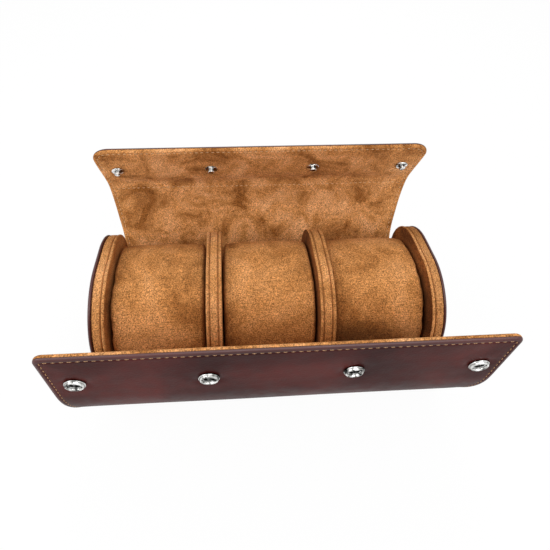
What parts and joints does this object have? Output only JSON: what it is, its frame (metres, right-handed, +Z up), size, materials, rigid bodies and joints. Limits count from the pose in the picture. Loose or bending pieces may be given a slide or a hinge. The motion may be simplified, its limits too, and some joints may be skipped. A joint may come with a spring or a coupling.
{
  "type": "watch travel case",
  "caption": "Leather travel case for watches: suede-lined flaps roll over rounded caps and dividers, close with press studs and hold lift-out pillows.",
  "frame": {"origin": "centre of the flat underside, on the surface that the case stands on", "axes": "+X along the case to its right end as seen from the front flap, +Y to the back flap with the studs, +Z up"},
  "size_m": [0.2102, 0.1538, 0.1199],
  "materials": {
    "leather": "smooth dark reddish brown",
    "suede": "tan suede nap",
    "board": "stiffener board, hidden",
    "foam": "soft foam filling, hidden",
    "chrome_metal": "polished",
    "steel": "plain"
  },
  "bodies": {
    "case": {"base_leather": "leather", "base_board": "board", "base_lining": "suede", "left_cap_leather_panel": "leather", "left_cap_core": "board", "left_cap_rim_band": "suede", "left_cap_suede_face": "suede", "left_divider_core": "board", "left_divider_rim_band": "suede", "left_divider_left_face": "suede", "left_divider_right_face": "suede", "right_cap_leather_panel": "leather", "right_cap_core": "board", "right_cap_rim_band": "suede", "right_cap_suede_face": "suede", "right_divider_core": "board", "right_divider_rim_band": "suede", "right_divider_left_face": "suede", "right_divider_right_face": "suede"},
    "front_flap_1": {"front_flap_1_lining": "suede", "front_flap_1_leather": "leather"},
    "front_flap_2": {"front_flap_2_lining": "suede", "front_flap_2_leather": "leather"},
    "front_flap_3": {"front_flap_3_lining": "suede", "front_flap_3_leather": "leather"},
    "front_flap_4": {"front_flap_4_lining": "suede", "front_flap_4_leather": "leather"},
    "front_strip": {"front_strip_lining": "suede", "front_strip_board": "board", "front_strip_leather": "leather", "snap_sockets": "chrome_metal", "socket_backing_plates": "steel"},
    "front_edge": {"front_edge_lining": "suede", "front_edge_leather": "leather"},
    "back_flap_1": {"back_flap_1_lining": "suede", "back_flap_1_leather": "leather"},
    "back_flap_2": {"back_flap_2_lining": "suede", "back_flap_2_leather": "leather"},
    "back_flap_3": {"back_flap_3_lining": "suede", "back_flap_3_leather": "leather"},
    "back_flap_4": {"back_flap_4_lining": "suede", "back_flap_4_leather": "leather"},
    "back_flap_5": {"back_flap_5_lining": "suede", "back_flap_5_leather": "leather"},
    "back_strip": {"back_strip_lining": "suede", "back_strip_board": "board", "back_strip_leather": "leather", "snap_studs": "chrome_metal", "snap_caps": "chrome_metal"},
    "back_edge": {"back_edge_lining": "suede", "back_edge_leather": "leather"},
    "left_pillow": {"left_pillow_cover": "suede", "left_pillow_core": "foam"},
    "middle_pillow": {"middle_pillow_cover": "suede", "middle_pillow_core": "foam"},
    "right_pillow": {"right_pillow_cover": "suede", "right_pillow_core": "foam"}
  },
  "joints": [
    {"name": "front_flap_roll_1", "type": "hinge", "parent": "case", "child": "front_flap_1", "pos_m": [0, -0.026, 0.003], "axis": [1, 0, 0], "range_deg": [-33.2, 0]},
    {"name": "front_flap_roll_2", "type": "hinge", "parent": "front_flap_1", "child": "front_flap_2", "pos_m": [0, -0.05484, 0.01833], "axis": [1, 0, 0], "range_deg": [-2.82, 0]},
    {"name": "front_flap_roll_3", "type": "hinge", "parent": "front_flap_2", "child": "front_flap_3", "pos_m": [0, -0.06491, 0.03326], "axis": [1, 0, 0], "range_deg": [-28.53, 0]},
    {"name": "front_flap_roll_4", "type": "hinge", "parent": "front_flap_3", "child": "front_flap_4", "pos_m": [0, -0.07253, 0.04673], "axis": [1, 0, 0], "range_deg": [-5.55, 0]},
    {"name": "front_flap_roll_5", "type": "hinge", "parent": "front_flap_4", "child": "front_strip", "pos_m": [0, -0.07728, 0.06093], "axis": [1, 0, 0], "range_deg": [-28.43, 0]},
    {"name": "front_flap_roll_6", "type": "hinge", "parent": "front_strip", "child": "front_edge", "pos_m": [0, -0.08165, 0.08147], "axis": [1, 0, 0], "range_deg": [-8.57, 0]},
    {"name": "back_flap_roll_1", "type": "hinge", "parent": "case", "child": "back_flap_1", "pos_m": [0, 0.026, 0.003], "axis": [-1, 0, 0], "range_deg": [-22.1, 0]},
    {"name": "back_flap_roll_2", "type": "hinge", "parent": "back_flap_1", "child": "back_flap_2", "pos_m": [0, 0.05142, 0.02286], "axis": [-1, 0, 0], "range_deg": [-1.51, 0]},
    {"name": "back_flap_roll_3", "type": "hinge", "parent": "back_flap_2", "child": "back_flap_3", "pos_m": [0, 0.05689, 0.0379], "axis": [-1, 0, 0], "range_deg": [-18.05, 0]},
    {"name": "back_flap_roll_4", "type": "hinge", "parent": "back_flap_3", "child": "back_flap_4", "pos_m": [0, 0.06123, 0.0538], "axis": [-1, 0, 0], "range_deg": [-5.14, 0]},
    {"name": "back_flap_roll_5", "type": "hinge", "parent": "back_flap_4", "child": "back_flap_5", "pos_m": [0, 0.06204, 0.07073], "axis": [-1, 0, 0], "range_deg": [-9.07, 0]},
    {"name": "back_flap_roll_6", "type": "hinge", "parent": "back_flap_5", "child": "back_strip", "pos_m": [0, 0.05752, 0.08649], "axis": [-1, 0, 0], "range_deg": [-11.49, 0]},
    {"name": "back_flap_roll_7", "type": "hinge", "parent": "back_strip", "child": "back_edge", "pos_m": [0, 0.04799, 0.1052], "axis": [-1, 0, 0], "range_deg": [-15.73, 0]},
    {"name": "left_pillow_lift", "type": "slide", "parent": "case", "child": "left_pillow", "axis": [0, 0, 1], "range_m": [0, 0.085]},
    {"name": "middle_pillow_lift", "type": "slide", "parent": "case", "child": "middle_pillow", "axis": [0, 0, 1], "range_m": [0, 0.085]},
    {"name": "right_pillow_lift", "type": "slide", "parent": "case", "child": "right_pillow", "axis": [0, 0, 1], "range_m": [0, 0.085]}
  ],
  "couplings": [
    {"joint": "front_flap_roll_2", "follows": "front_flap_roll_1", "ratio": 0.084337},
    {"joint": "front_flap_roll_3", "follows": "front_flap_roll_1", "ratio": 0.85241},
    {"joint": "front_flap_roll_4", "follows": "front_flap_roll_1", "ratio": 0.16566},
    {"joint": "front_flap_roll_5", "follows": "front_flap_roll_1", "ratio": 0.8494},
    {"joint": "front_flap_roll_6", "follows": "front_flap_roll_1", "ratio": 0.25602},
    {"joint": "back_flap_roll_2", "follows": "back_flap_roll_1", "ratio": 0.067873},
    {"joint": "back_flap_roll_3", "follows": "back_flap_roll_1", "ratio": 0.80995},
    {"joint": "back_flap_roll_4", "follows": "back_flap_roll_1", "ratio": 0.23077},
    {"joint": "back_flap_roll_5", "follows": "back_flap_roll_1", "ratio": 0.40724},
    {"joint": "back_flap_roll_6", "follows": "back_flap_roll_1", "ratio": 0.51584},
    {"joint": "back_flap_roll_7", "follows": "back_flap_roll_1", "ratio": 0.70588}
  ]
}
